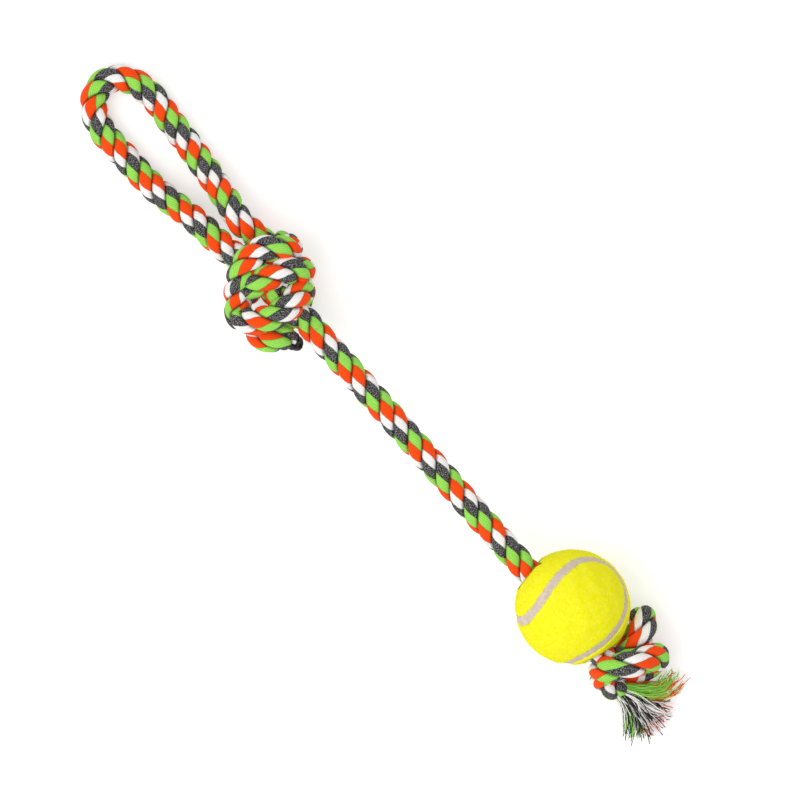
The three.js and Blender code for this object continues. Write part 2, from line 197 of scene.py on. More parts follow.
# How far the felt's darkening at the mouth edge blurs, and how dark it gets: brown dirt, and painted shade in
# the recess
MOUTH_DIRT_AND_SHADE_REACH = 0.6 * MM
MOUTH_DIRT_AND_SHADE_MOST = 0.8
RUBBER_RADIUS = 29.2 * MM
RUBBER_THICKNESS = 3.5 * MM
RUBBER_LIP = 1.6 * MM
RUBBER_LIP_REACH = 3.5 * MM
RUBBER_ROWS = 48
RUBBER_COLUMNS = 96
RUBBER_JOINT = 0.004  # half the gap between the half shells, as a share of the arc from joint to mouth
FELT_FIBRES = 5000
FELT_FIBRE_LENGTHS = (0.7 * MM, 1.7 * MM)
FELT_FIBRE_LIFTS = (0.15, 0.6)
FELT_FIBRE_LEAST_RISE = 0.1
FELT_FIBRE_SWAY = 0.6
FELT_FIBRE_RADIUS = 0.04 * MM
OPEN_FELT = 0.95
FELT_THICKNESS = 1.2 * MM

# Picture
PICTURE_PIXELS = 800
PICTURE_SCALE = 0.565 * MM  # one pixel at the height of the ball's centre
PICTURE_CENTRE_FROM_BALL = (-152.2 * MM, 4.5 * MM)
PICTURE_RIGHT = np.array([0.6626, 0.7490, 0.0])
CAMERA_HEIGHT = 8.0
SENSOR_WIDTH = 36.0
FLOOR_HALF_SIZE = 6.0
FLOOR_WHITE = (0.86, 0.86, 0.86, 1)
FLOOR_LIFT = 0.4
WORLD_STRENGTH = 0.74
LAMP_TARGET_HEIGHT = 0.02
LAMP_PLACE = (-0.62, -0.35, 1.2)  # from the target, to the picture's right, up the picture and up
LAMP_SIZE = 1.3
LAMP_ENERGY = 8.5

# Colours as they look, in red, green and blue from 0 to 255
YARN_COLOURS = {
    "charcoal": (31, 30, 33),
    "green": (152, 222, 88),
    "orange": (255, 76, 4),
    "white": (250, 247, 244),
}
MARL = (192, 189, 190)
FELT_LIGHT = (255, 251, 62)
FELT_DARK = (248, 242, 0)
# Brown dirt and painted shade where the felt turns into the bore
MOUTH_DIRT_AND_SHADE = (98, 70, 34)
SEAM_LIGHT = (224, 208, 190)
SEAM_DARK = (204, 187, 170)
RUBBER = (74, 56, 47)
SEALED = (9, 9, 10)


def linear(colour):
    """The colour's linear light, from its looks: the sRGB curve, channel by channel, with alpha 1."""
    share = np.asarray(colour, float) / 255
    light = np.where(share <= 0.04045, share / 12.92, ((share + 0.055) / 1.055) ** 2.4)
    return (*light.tolist(), 1.0)


def smooth_step(value, low, high):
    """0 below low, 1 above high, and the cubic 3t^2 - 2t^3 between them."""
    t = np.clip((value - low) / (high - low), 0, 1)
    return t * t * (3 - 2 * t)


def unit(vectors):
    """The same directions with length 1."""
    return vectors / np.linalg.norm(vectors, axis=-1, keepdims=True)


def ripple(places, size, seed, waves=14):
    """Soft noise from about -1 to 1: a mean of sine waves in random directions, each about size long."""
    rng = np.random.default_rng(seed)
    directions = unit(rng.normal(size=(waves, 3))) * (TURN / size) * rng.uniform(0.7, 1.4, (waves, 1))
    phases = rng.uniform(0, TURN, waves)
    return np.sin(places @ directions.T + phases).sum(axis=-1) * math.sqrt(2 / waves) / 1.4


# Places that come from the frame
SHAFT_LOW, SHAFT_HIGH = (np.array(corner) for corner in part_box("rope_shaft"))
SHAFT_START = SHAFT_LOW[0] - FIT_GAP
SHAFT_END = SHAFT_HIGH[0] + FIT_GAP
SHAFT_AXIS = (SHAFT_LOW + SHAFT_HIGH) / 2
FLOOR = SHAFT_AXIS[2] - ROPE_RADIUS - SHAFT_RISE * MM
FELT_BOXES = np.array([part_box(node) for node in ("felt_panel_a", "felt_panel_b")])
BALL_CENTRE = (FELT_BOXES[:, 0].min(axis=0) + FELT_BOXES[:, 1].max(axis=0)) / 2


def route_places(route, from_x):
    """Points of a run in the part's frame, from its distances in millimetres."""
    points = np.array(route, float) * MM
    return points + np.array([from_x, SHAFT_AXIS[1], FLOOR + ROPE_RADIUS])


TASSEL_HINGE = route_places(STOPPER_ROUTE[-1:], SHAFT_END)[0]


# Camera


def add_camera():
    """A camera straight above the picture's centre, turned so that the picture's right is PICTURE_RIGHT."""
    width = PICTURE_PIXELS * PICTURE_SCALE
    data = bpy.data.cameras.new("photo_camera")
    data.sensor_fit = "HORIZONTAL"
    data.sensor_width = SENSOR_WIDTH
    data.lens = SENSOR_WIDTH * CAMERA_HEIGHT / width
    data.clip_end = 40
    camera = bpy.data.objects.new("photo_camera", data)
    bpy.context.collection.objects.link(camera)
    picture_up = np.cross(UP, PICTURE_RIGHT)
    turn = Matrix(np.stack([PICTURE_RIGHT, picture_up, UP], axis=1).tolist()).to_4x4()
    centre = BALL_CENTRE[:2] + np.array(PICTURE_CENTRE_FROM_BALL)
    camera.matrix_world = Matrix.Translation((*centre, BALL_CENTRE[2] + CAMERA_HEIGHT)) @ turn
    bpy.context.scene.camera = camera
    return centre


PICTURE_CENTRE = add_camera()


# Meshes


def grid_faces(rows, columns, ring=False):
    """Quads over a grid of rows by columns, where the last column joins the first, and in a ring the last row
    too. They point out where the columns turn left about the way that the rows go."""
    row, column = np.meshgrid(np.arange(rows if ring else rows - 1), np.arange(columns), indexing="ij")
    below = (row + 1) % rows
    after = (column + 1) % columns
    quads = np.stack([row * columns + column, row * columns + after, below * columns + after,
                      below * columns + column], axis=-1)
    return quads.reshape(-1, 4)


def closed_sheet(faces, count):
    """A sheet's quads, the same quads turned over on a copy of its corners that starts count corners on, and a
    wall from one to the other along each edge that only one quad has."""
    edges = np.concatenate([np.stack([faces[:, k], faces[:, (k + 1) % 4]], axis=1) for k in range(4)])
    first, uses = np.unique(np.sort(edges, axis=1), axis=0, return_index=True, return_counts=True)[1:]
    rim = edges[first[uses == 1]]
    walls = np.stack([rim[:, 1], rim[:, 0], rim[:, 0] + count, rim[:, 1] + count], axis=1)
    return np.concatenate([faces, faces[:, ::-1] + count, walls])


class Parts:
    """Vertices, faces and face-corner UVs of one piece, gathered surface by surface."""

    def __init__(self):
        self.verts = []
        self.faces = []
        self.uvs = []
        self.open = []
        self.count = 0

    def add(self, verts, faces, uvs, open_share=1.0):
        """Open share is 1 on an open surface, and falls to -1 where a neighbour covers it. The rope's material
        paints shade from it; on the felt it is the share free of mouth dirt and painted shade.
        """
        self.verts.append(verts.reshape(-1, 3))
        self.faces.extend((faces + self.count).tolist())
        self.uvs.append(uvs.reshape(-1, 2))
        self.open.append(np.broadcast_to(open_share, verts.shape[:-1]).ravel())
        self.count += len(self.verts[-1])

    def tube(self, grid, uv, open_share=1.0):
        """A tube with end caps, whose faces go as grid_faces says. uv has one more column than the grid."""
        rows, columns = grid.shape[:2]
        corners = np.stack([uv[:-1, :-1], uv[:-1, 1:], uv[1:, 1:], uv[1:, :-1]], axis=2)
        first = self.count
        self.add(grid, grid_faces(rows, columns), corners, open_share)
        ring = np.arange(columns)
        for row, corner in ((0, ring[::-1]), (rows - 1, ring)):
            self.faces.append((first + row * columns + corner).tolist())
            self.uvs.append(uv[row, corner])

    def plain(self, verts, faces, open_share=1.0):
        """A surface whose material doesn't read the UV."""
        self.add(verts, faces, np.zeros((faces.size, 2)), open_share)

    def fibres(self, roots, ends, radius, uv):
        """Closed slivers: three corners round each root, and one at each end."""
        way = unit(ends - roots)
        side = unit(np.cross(way, np.where(np.abs(way[:, 2:]) < 0.8, UP, ALONG)))
        other = np.cross(way, side)
        angles = TURN * np.arange(3) / 3
        ring = [roots + radius * (math.cos(a) * side + math.sin(a) * other) for a in angles]
        verts = np.stack([*ring, ends], axis=1)
        corner = 4 * np.arange(len(roots))[:, None, None]
        faces = corner + np.array([[0, 1, 3], [1, 2, 3], [2, 0, 3], [2, 1, 0]])
        self.add(verts, faces.reshape(-1, 3), np.repeat(uv, 12, axis=0))

    def piece(self, name, material):
        """The gathered surfaces as one object."""
        mesh = bpy.data.meshes.new(name)
        mesh.from_pydata(np.concatenate(self.verts).tolist(), [], self.faces)
        layer = mesh.uv_layers.new(name="Surface")
        layer.data.foreach_set("uv", np.concatenate(self.uvs).astype(np.float32).ravel())
        share = mesh.attributes.new("Open share", "FLOAT", "POINT")
        share.data.foreach_set("value", np.concatenate(self.open).astype(np.float32))
        mesh.materials.append(material)
        mesh.shade_smooth()
        mesh.update()
        obj = bpy.data.objects.new(name, mesh)
        bpy.context.collection.objects.link(obj)
        return obj


# Lines


def catmull_rom(points, samples):
    """A centripetal Catmull-Rom curve: on each span, straight blends of blends of four points, over knots that
    are the roots of the chords apart. The end points are mirrored to give the end spans their outer points."""
    ends = np.concatenate([2 * points[:1] - points[1:2], points, 2 * points[-1:] - points[-2:-1]])
    chord = np.sqrt(np.linalg.norm(np.diff(ends, axis=0), axis=1))
    p0, p1, p2, p3 = (ends[k:len(ends) - 3 + k, None] for k in range(4))
    t1 = chord[:-2, None, None]
    t2 = t1 + chord[1:-1, None, None]
    t3 = t2 + chord[2:, None, None]
    t = t1 + (t2 - t1) * np.linspace(0, 1, samples, endpoint=False)[None, :, None]
    a1 = (t1 - t) / t1 * p0 + t / t1 * p1
    a2 = (t2 - t) / (t2 - t1) * p1 + (t - t1) / (t2 - t1) * p2
    a3 = (t3 - t) / (t3 - t2) * p2 + (t - t2) / (t3 - t2) * p3
    b1 = (t2 - t) / t2 * a1 + t / t2 * a2
    b2 = (t3 - t) / (t3 - t1) * a2 + (t - t1) / (t3 - t1) * a3
    spans = (t2 - t) / (t2 - t1) * b1 + (t - t1) / (t2 - t1) * b2
    return np.concatenate([spans.reshape(-1, 3), points[-1:]])


def even_line(points, step, samples=40):
    """The curve at even steps, the arc length at each step, and the arc length at each given point."""
    curve = catmull_rom(points, samples)
    run = np.concatenate([[0], np.cumsum(np.linalg.norm(np.diff(curve, axis=0), axis=1))])
    arc = np.linspace(0, run[-1], int(round(run[-1] / step)) + 1)
    places = np.stack([np.interp(arc, run, curve[:, k]) for k in range(3)], axis=1)
    return places, arc, run[::samples]


def steady_frames(places, start, side):
    """Tangents and two side directions that twist as little as they can, set at one station and carried both
    ways: each step mirrors the last frame across the step, and then across the change of tangent."""
    tangents = unit(np.gradient(places, axis=0))
    first = np.zeros_like(places)
    first[start] = unit(side - tangents[start] * (side @ tangents[start]))
    last = len(places) - 1
    steps = [(k, k + 1) for k in range(start, last)] + [(k, k - 1) for k in range(start, 0, -1)]
    for here, there in steps:
        hop = places[there] - places[here]
        carried = first[here] - hop * (2 * (hop @ first[here]) / (hop @ hop))
        turned = tangents[here] - hop * (2 * (hop @ tangents[here]) / (hop @ hop))
        change = tangents[there] - turned
        first[there] = carried - change * (2 * (change @ carried) / max(change @ change, 1e-18))
    return tangents, first, np.cross(tangents, first)


def whole_rope():
    """The rope's line in one length, from the sealed tip through the handle knot, the loop and the ball to the
    tassel. Returns places, two side directions, arc lengths from the shaft's end, and the arcs of the cuts."""
    shaft_x = np.linspace(SHAFT_START, SHAFT_END, SHAFT_SPANS + 1)[1:-1]
    shaft = np.tile(SHAFT_AXIS, (len(shaft_x), 1))
    shaft[:, 0] = shaft_x
    tail = route_places(TAIL_ROUTE, SHAFT_START)[::-1]
    loop = route_places(LOOP_ROUTE, SHAFT_START)
    standing = route_places(STANDING_ROUTE, SHAFT_START)
    stopper = route_places(STOPPER_ROUTE, SHAFT_END)
    points = np.concatenate([tail, loop[1:], standing[1:], shaft, stopper])
    places, arc, knots = even_line(points, ROPE_STEP)
    last_tail = len(tail) - 1
    last_loop = last_tail + len(loop) - 1
    last_standing = last_loop + len(standing) - 1
    shaft_end = last_standing + len(shaft) + 1
    cuts = {
        "tip": knots[0],
        "loop_start": knots[last_tail - 1],
        "loop_end": knots[last_loop + 1],
        "shaft_start": knots[last_standing],
        "shaft_end": knots[shaft_end],
        "tassel": knots[-1],
    }
    start = int(np.argmin(np.abs(arc - cuts["shaft_end"])))
    side_a, side_b = steady_frames(places, start, ACROSS)[1:]
    zero = cuts["shaft_end"]
    return places, side_a, side_b, arc - zero, {name: value - zero for name, value in cuts.items()}


ROPE_PLACES, ROPE_SIDE_A, ROPE_SIDE_B, ROPE_ARC, ROPE_CUTS = whole_rope()


# Rope surfaces


def rope_thickness(arc):
    """1 along the rope, drawn in where it goes into the sealed tip and where it opens into the tassel."""
    tip = smooth_step(arc, ROPE_CUTS["tip"] + TIP_NECK[0], ROPE_CUTS["tip"] + TIP_NECK[1])
    tassel = smooth_step(ROPE_CUTS["tassel"] - arc, 0, TASSEL_OPENING)
    tip_size = TIP_NECK_LEAST + (1 - TIP_NECK_LEAST) * tip
    return tip_size * (TASSEL_NECK_LEAST + (1 - TASSEL_NECK_LEAST) * tassel)


def even_lay(arc, lay):
    """Turns of the strands about the rope's line, from +Y, and of the plies about their strand, in one lay."""
    length, ply_turns, strand_start, ply_start = lay
    return np.stack([arc / length + strand_start, arc * (1 + ply_turns) / length + ply_start])


def lay_turns(arc):
    """The turns of even_lay, where each run's lay goes over softly into the next run's."""
    loop_start = ROPE_CUTS["loop_start"]
    shaft_end = ROPE_CUTS["shaft_end"]
    changes = (
        (LOOP_LAY, loop_start - TAIL_LAY_CHANGE[0], loop_start - TAIL_LAY_CHANGE[1]),
        (SHAFT_LAY, ROPE_CUTS["loop_end"], ROPE_CUTS["shaft_start"]),
        (STOPPER_LAY, shaft_end, shaft_end + STOPPER_LAY_CHANGE),
        (FRONT_PASS_LAY, shaft_end + FRONT_PASS_LAY_CHANGE[0], shaft_end + FRONT_PASS_LAY_CHANGE[1]),
    )
    turns = even_lay(arc, TAIL_LAY)
    for lay, low, high in changes:
        turns = turns + smooth_step(arc, low, high) * (even_lay(arc, lay) - turns)
    return turns


def strand_surface(stations, strand):
    """One strand: its centre turns about the rope's line as lay_turns says, and its section is an oval that is
    widest along the rope's surface. The plies turn the other way in it, with a groove between each two.
    Returns the grid, its UV (ply count, length in centimetres), the outward directions, and the cosine of the
    angle from the strand's outer line, column by column."""
    rope = (ROPE_PLACES, ROPE_SIDE_A, ROPE_SIDE_B, ROPE_ARC)
    places, side_a, side_b, arc = (values[stations] for values in rope)
    strands, plies = lay_turns(arc)
    turn = TURN * (strands + strand / STRANDS)
    out = np.cos(turn)[:, None] * side_a + np.sin(turn)[:, None] * side_b
    sideways = -np.sin(turn)[:, None] * side_a + np.cos(turn)[:, None] * side_b
    around = TURN * np.arange(ROPE_COLUMNS + 1) / ROPE_COLUMNS - math.pi
    bunched = around + PLY_LEAN * np.sin(around)
    place = PLIES * (bunched[None, :] / TURN + plies[:, None]) + STRAND_PLY_SHIFT[strand]
    ply = PLIES * np.floor(place / PLIES) + np.interp(place % PLIES, PLY_EDGES, range(PLIES + 1))
    groove = PLY_GROOVE * (1 - np.sqrt(np.abs(np.sin(math.pi * ply))))
    thick = rope_thickness(arc)[:, None]
    depth = (STRAND_HALF_DEPTH - groove) * np.cos(around)
    width = (STRAND_HALF_WIDTH - groove) * np.sin(around)
    reach = (thick * (STRAND_OFFSET + depth))[:, :-1, None] * out[:, None]
    spread = (thick * width)[:, :-1, None] * sideways[:, None]
    grid = places[:, None] + reach + spread
    outward = np.cos(around)[None, :-1, None] * out[:, None]
    normal = unit(outward + np.sin(around)[None, :-1, None] * sideways[:, None])
    uv = np.stack([ply, np.broadcast_to(arc[:, None] * 100, ply.shape)], axis=-1)
    return grid, uv, normal, np.cos(around[:-1])


def on_floor(places):
    """The same points, with those near the floor or under it pressed up softly: each height h above the floor
    becomes s ln(1 + exp(h / s)), where s is FLOOR_PRESS."""
    pressed = places.copy()
    pressed[..., 2] = FLOOR + FLOOR_PRESS * np.logaddexp(0, (places[..., 2] - FLOOR) / FLOOR_PRESS)
    return pressed


def add_fuzz(parts, grid, uv, normal, count, rng):
    """Short loose fibres that stand a little off the strand's outer half, in the colour of their ply."""
    rows, columns = grid.shape[:2]
    row = rng.integers(1, rows - 1, count)
    column = rng.integers(columns // 4, 3 * columns // 4, count)
    roots = grid[row, column]
    lift = rng.uniform(*FIBRE_LIFTS, (count, 1))
    way = unit(lift * normal[row, column] + FIBRE_SWAY * unit(rng.normal(size=(count, 3))))
    ends = roots + way * rng.uniform(*FIBRE_LENGTHS, (count, 1))
    roots = roots - FIBRE_ROOT * normal[row, column]
    parts.fibres(roots, on_floor(ends), FIBRE_RADIUS, uv[row, column])


def rope_piece(name, runs, fibres_per_metre, seed):
    """Three strands along each run, a run being two arc lengths of the whole rope, with their fuzz."""
    rng = np.random.default_rng(seed)
    parts = Parts()
    for low, high in runs:
        first = int(np.argmin(np.abs(ROPE_ARC - low)))
        last = int(np.argmin(np.abs(ROPE_ARC - high)))
        stations = slice(first, last + 1)
        for strand in range(STRANDS):
            grid, uv, normal, outer = strand_surface(stations, strand)
            grid = on_floor(grid)
            parts.tube(grid, uv, outer)
            add_fuzz(parts, grid, uv, normal, int(fibres_per_metre * (high - low)), rng)
    obj = parts.piece(name, ROPE_MATERIAL)
    return obj


# Shader helpers


class Nodes:
    """Adds nodes to a material's or a group's tree. An input is a value, or a socket to link from."""

    def __init__(self, tree):
        self.tree = tree

    def add(self, kind, inputs=(), **settings):
        node = self.tree.nodes.new(kind)
        for name, value in settings.items():
            setattr(node, name, value)
        for name, value in dict(inputs).items():
            socket = node.inputs[name]
            if isinstance(value, bpy.types.NodeSocket):
                self.tree.links.new(value, socket)
            else:
                socket.default_value = value
        return node

    def math(self, operation, first, second=0.0, third=0.0):
        inputs = {0: first, 1: second, 2: third}
        return self.add("ShaderNodeMath", inputs, operation=operation).outputs[0]

    def mix(self, share, first, second, blend="MIX"):
        node = self.add("ShaderNodeMix", data_type="RGBA", blend_type=blend)
        for index, value in ((0, share), (6, first), (7, second)):
            if isinstance(value, bpy.types.NodeSocket):
                self.tree.links.new(value, node.inputs[index])
            else:
                node.inputs[index].default_value = value
        return node.outputs[2]

    def noise(self, vector, scale, detail, **others):
        inputs = {"Vector": vector, "Scale": scale, "Detail": detail, **others}
        return self.add("ShaderNodeTexNoise", inputs).outputs[0]

    def spread(self, value, low, high, least=0.0):
        """From least to 1 as the value goes from low to high."""
        inputs = {"Value": value, "From Min": low, "From Max": high, "To Min": least}
        return self.add("ShaderNodeMapRange", inputs).outputs[0]

    def steps(self, share, stops):
        """A colour ramp that jumps at the given (place, colour) stops."""
        node = self.add("ShaderNodeValToRGB", {"Fac": share})
        ramp = node.color_ramp
        ramp.interpolation = "CONSTANT"
        ramp.elements[0].position, ramp.elements[0].color = stops[0]
        ramp.elements[1].position, ramp.elements[1].color = stops[-1]
        for place, colour in stops[1:-1]:
            ramp.elements.new(place).color = colour
        return node.outputs["Color"]


def new_material(name):
    """A material with an empty tree but for its Principled BSDF and output."""
    material = bpy.data.materials.new(name)
    material.use_nodes = True
    nodes = Nodes(material.node_tree)
    return material, nodes, material.node_tree.nodes["Principled BSDF"]


def finish_surface(nodes, shader, colour, height, strength, distance, roughness, sheen=0.0):
    """Links colour and bump to the shader, and sets its plain values."""
    bump = nodes.add("ShaderNodeBump", {"Height": height, "Strength": strength, "Distance": distance})
    nodes.tree.links.new(colour, shader.inputs["Base Color"])
    nodes.tree.links.new(bump.outputs["Normal"], shader.inputs["Normal"])
    shader.inputs["Roughness"].default_value = roughness
    shader.inputs["Sheen Weight"].default_value = sheen
    shader.inputs["Sheen Roughness"].default_value = 0.6
    shader.inputs["Specular IOR Level"].default_value = 0.2


def yarn_group():
    """Cotton yarn on a UV that counts plies across and centimetres along. Height is the ridges of the twisted
    yarns and their fibres, Shade is how light the cotton is there, with painted shade in the hollows between
    the ridges, a fine grain and broad patches of tone, and Fleck marks pale fibres."""
    tree = bpy.data.node_groups.new("Cotton yarn", "ShaderNodeTree")
    for way, names in (("INPUT", ("Across", "Along")), ("OUTPUT", ("Height", "Shade", "Fleck"))):
        for name in names:
            tree.interface.new_socket(name, in_out=way, socket_type="NodeSocketFloat")
    nodes = Nodes(tree)
    given = nodes.add("NodeGroupInput").outputs
    result = nodes.add("NodeGroupOutput").inputs
    place = nodes.add("ShaderNodeCombineXYZ", {0: given["Across"], 1: given["Along"]}).outputs[0]
    waver = nodes.noise(place, 1.3, 2.0)
    slant = nodes.math("MULTIPLY", given["Along"], 1.1)
    count = nodes.math("MULTIPLY_ADD", given["Across"], 5.0, slant)
    line = nodes.math("MULTIPLY_ADD", waver, 1.6, count)
    ridge = nodes.math("ABSOLUTE", nodes.math("SINE", nodes.math("MULTIPLY", line, math.pi)))
    stretched = nodes.add("ShaderNodeCombineXYZ", {0: nodes.math("MULTIPLY", line, 3.0), 1: given["Along"]})
    fibre = nodes.noise(stretched.outputs[0], 2.6, 3.0)
    height = nodes.math("MULTIPLY_ADD", fibre, 0.8, nodes.math("POWER", ridge, 0.6))
    grain_place = nodes.add("ShaderNodeCombineXYZ", {0: nodes.math("MULTIPLY", line, 0.1), 1: given["Along"]})
    grain = nodes.noise(grain_place.outputs[0], 13.0, 2.0)
    # Painted shade: darker in the hollows between the yarn ridges, lighter on their tops
    shade = nodes.math("MULTIPLY_ADD", height, 0.30, nodes.math("MULTIPLY_ADD", grain, 0.6, 0.41))
    broad = nodes.noise(place, 0.9, 1.0)
    shade = nodes.math("ADD", shade, nodes.math("MULTIPLY_ADD", broad, 0.16, -0.08))
    speck_place = nodes.add("ShaderNodeCombineXYZ", {0: line, 1: nodes.math("MULTIPLY", given["Along"], 4.0)})
    fleck = nodes.spread(nodes.noise(speck_place.outputs[0], 3.2, 2.0), 0.49, 0.66)
    for name, value in (("Height", height), ("Shade", shade), ("Fleck", fleck)):
        tree.links.new(value, result[name])
    return tree


YARN_GROUP = yarn_group()


def yarn_nodes(nodes):
    """The UV's two parts and a Cotton yarn node on them."""
    uv = nodes.add("ShaderNodeUVMap", uv_map="Surface").outputs[0]
    parts = nodes.add("ShaderNodeSeparateXYZ", {0: uv}).outputs
    yarn = nodes.add("ShaderNodeGroup", node_tree=YARN_GROUP)
    nodes.tree.links.new(parts[0], yarn.inputs["Across"])
    nodes.tree.links.new(parts[1], yarn.inputs["Along"])
    return uv, parts, yarn.outputs


def tinted(nodes, colour, shade):
    """The colour times the shade."""
    grey = nodes.add("ShaderNodeCombineColor", {0: shade, 1: shade, 2: shade}).outputs[0]
    return nodes.mix(1.0, colour, grey, "MULTIPLY")


def rope_material():
    """Four dyed plies side by side, with slightly uneven edges, painted shade in the grooves between plies and
    between strands, and a charcoal marl."""
    material, nodes, shader = new_material("laid_cotton_rope")
    uv, parts, yarn = yarn_nodes(nodes)
    uneven = nodes.noise(uv, 3.0, 2.0)
    across = nodes.math("ADD", parts[0], nodes.math("MULTIPLY_ADD", uneven, 0.16, -0.08))
    share = nodes.math("FRACT", nodes.math("DIVIDE", across, float(PLIES)))
    order = ("charcoal", "green", "orange", "white")
    stops = [(k / PLIES, linear(YARN_COLOURS[name])) for k, name in enumerate(order)]
    dyed = nodes.steps(share, stops)
    is_charcoal = nodes.math("LESS_THAN", share, 1 / PLIES)
    marl = nodes.math("MULTIPLY", is_charcoal, nodes.math("MULTIPLY", yarn["Fleck"], 0.7))
    dyed = nodes.mix(marl, dyed, linear(MARL))
    # Painted shade: the colour darkens towards each ply's edges and where a strand goes under its neighbour
    edge = nodes.math("ABSOLUTE", nodes.math("SINE", nodes.math("MULTIPLY", across, math.pi)))
    groove = nodes.spread(edge, 0.0, 0.35, 0.62)
    open_share = nodes.add("ShaderNodeAttribute", attribute_name="Open share").outputs["Fac"]
    painted_crease_shade = nodes.spread(open_share, -0.4, 0.16, 0.2)
    unshaded_clean_share = nodes.math("MULTIPLY", groove, painted_crease_shade)
    colour = tinted(nodes, dyed, nodes.math("MULTIPLY", yarn["Shade"], unshaded_clean_share))
    finish_surface(nodes, shader, colour, yarn["Height"], 0.6, 0.3 * MM, 0.9, 0.04)
    return material


def yarn_material(name):
    """One dyed yarn of the tassel."""
    material, nodes, shader = new_material(f"{name}_yarn")
    yarn = yarn_nodes(nodes)[2]
    dyed = nodes.add("ShaderNodeRGB").outputs[0]
    dyed.default_value = linear(YARN_COLOURS[name])
    if name == "charcoal":
        dyed = nodes.mix(nodes.math("MULTIPLY", yarn["Fleck"], 0.12), dyed, linear(MARL))
    colour = tinted(nodes, dyed, yarn["Shade"])
    finish_surface(nodes, shader, colour, yarn["Height"], 0.4, 0.1 * MM, 0.9, 0.04)
    return material


def felt_material():
    """Napped fluorescent felt: pale and deep patches, short matted fibres in the bump, and brown dirt with
    painted shade at the mouths, darker towards the bore."""
    material, nodes, shader = new_material("ball_felt")
    place = nodes.add("ShaderNodeTexCoord").outputs["Object"]
    broad = nodes.noise(place, 330.0, 3.0)
    nap = nodes.noise(place, 650.0, 4.0, Roughness=0.7, Distortion=1.2)
    share = nodes.math("MULTIPLY_ADD", broad, 0.3, nap)
    pale = nodes.spread(share, 0.53, 0.78)
    colour = nodes.mix(pale, linear(FELT_DARK), linear(FELT_LIGHT))
    unshaded_clean_share = nodes.add("ShaderNodeAttribute", attribute_name="Open share").outputs["Fac"]
    # Brown dirt and painted shade at the mouths, darker towards the bore
    colour = nodes.mix(unshaded_clean_share, linear(MOUTH_DIRT_AND_SHADE), colour)
    height = nodes.math("MULTIPLY_ADD", broad, 0.5, nap)
    finish_surface(nodes, shader, colour, height, 0.55, 0.5 * MM, 0.95, 0.12)
    shader.inputs["Sheen Tint"].default_value = linear(FELT_LIGHT)
    shader.inputs["Specular IOR Level"].default_value = 0.04
    return material


def seam_material():
    """Cured cement: pale, matt, faintly blotched and pitted."""
    material, nodes, shader = new_material("seam_cement")
    place = nodes.add("ShaderNodeTexCoord").outputs["Object"]
    blotch = nodes.noise(place, 420.0, 4.0)
    share = nodes.spread(blotch, 0.35, 0.68)
    colour = nodes.mix(share, linear(SEAM_DARK), linear(SEAM_LIGHT))
    finish_surface(nodes, shader, colour, blotch, 0.3, 0.3 * MM, 0.75)
    return material


def moulded_material(name, colour, scale, roughness):
    """Dark rubber or melted fibre: a little uneven in colour and surface."""
    material, nodes, shader = new_material(name)
    place = nodes.add("ShaderNodeTexCoord").outputs["Object"]
    grain = nodes.noise(place, scale, 5.0)
    shade = nodes.math("MULTIPLY_ADD", grain, 0.6, 0.7)
    plain = nodes.add("ShaderNodeRGB").outputs[0]
    plain.default_value = linear(colour)
    finish_surface(nodes, shader, tinted(nodes, plain, shade), grain, 0.4, 0.4 * MM, roughness)
    return material


ROPE_MATERIAL = rope_material()
YARN_MATERIALS = {name: yarn_material(name) for name in YARN_COLOURS}
FELT_MATERIAL = felt_material()
SEAM_MATERIAL = seam_material()
RUBBER_MATERIAL = moulded_material("ball_rubber", RUBBER, 600.0, 0.7)
SEALED_MATERIAL = moulded_material("sealed_tip", SEALED, 500.0, 0.45)


# Rope pieces, the free stretches first


def add_loop():
    """The hand loop, between its two legs at the handle knot."""
    low, high = ROPE_CUTS["loop_start"], ROPE_CUTS["loop_end"]
    obj = rope_piece("hand_loop_rope", [(low, high)], STRAND_FIBRES, 11)
    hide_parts("handle_loop")
    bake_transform(obj)


def add_shaft():
    """The straight rope from the handle knot through the ball."""
    low, high = ROPE_CUTS["shaft_start"], ROPE_CUTS["shaft_end"]
    obj = rope_piece("shaft_rope", [(low, high)], STRAND_FIBRES, 12)
    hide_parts("rope_shaft")
    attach(obj, "rope")


def add_handle_knot():
    """The tail's wraps, and the standing rope inside them."""
    runs = [(ROPE_CUTS["tip"], ROPE_CUTS["loop_start"]), (ROPE_CUTS["loop_end"], ROPE_CUTS["shaft_start"])]
    obj = rope_piece("handle_knot_rope", runs, HANDLE_KNOT_FIBRES, 13)
    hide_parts("handle_knot")
    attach(obj, "rope")


def add_stopper_knot():
    """The knot behind the ball."""
    run = (ROPE_CUTS["shaft_end"], ROPE_CUTS["tassel"])
    obj = rope_piece("stopper_knot_rope", [run], STRAND_FIBRES, 14)
    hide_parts("stopper_knot")
    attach(obj, "rope")


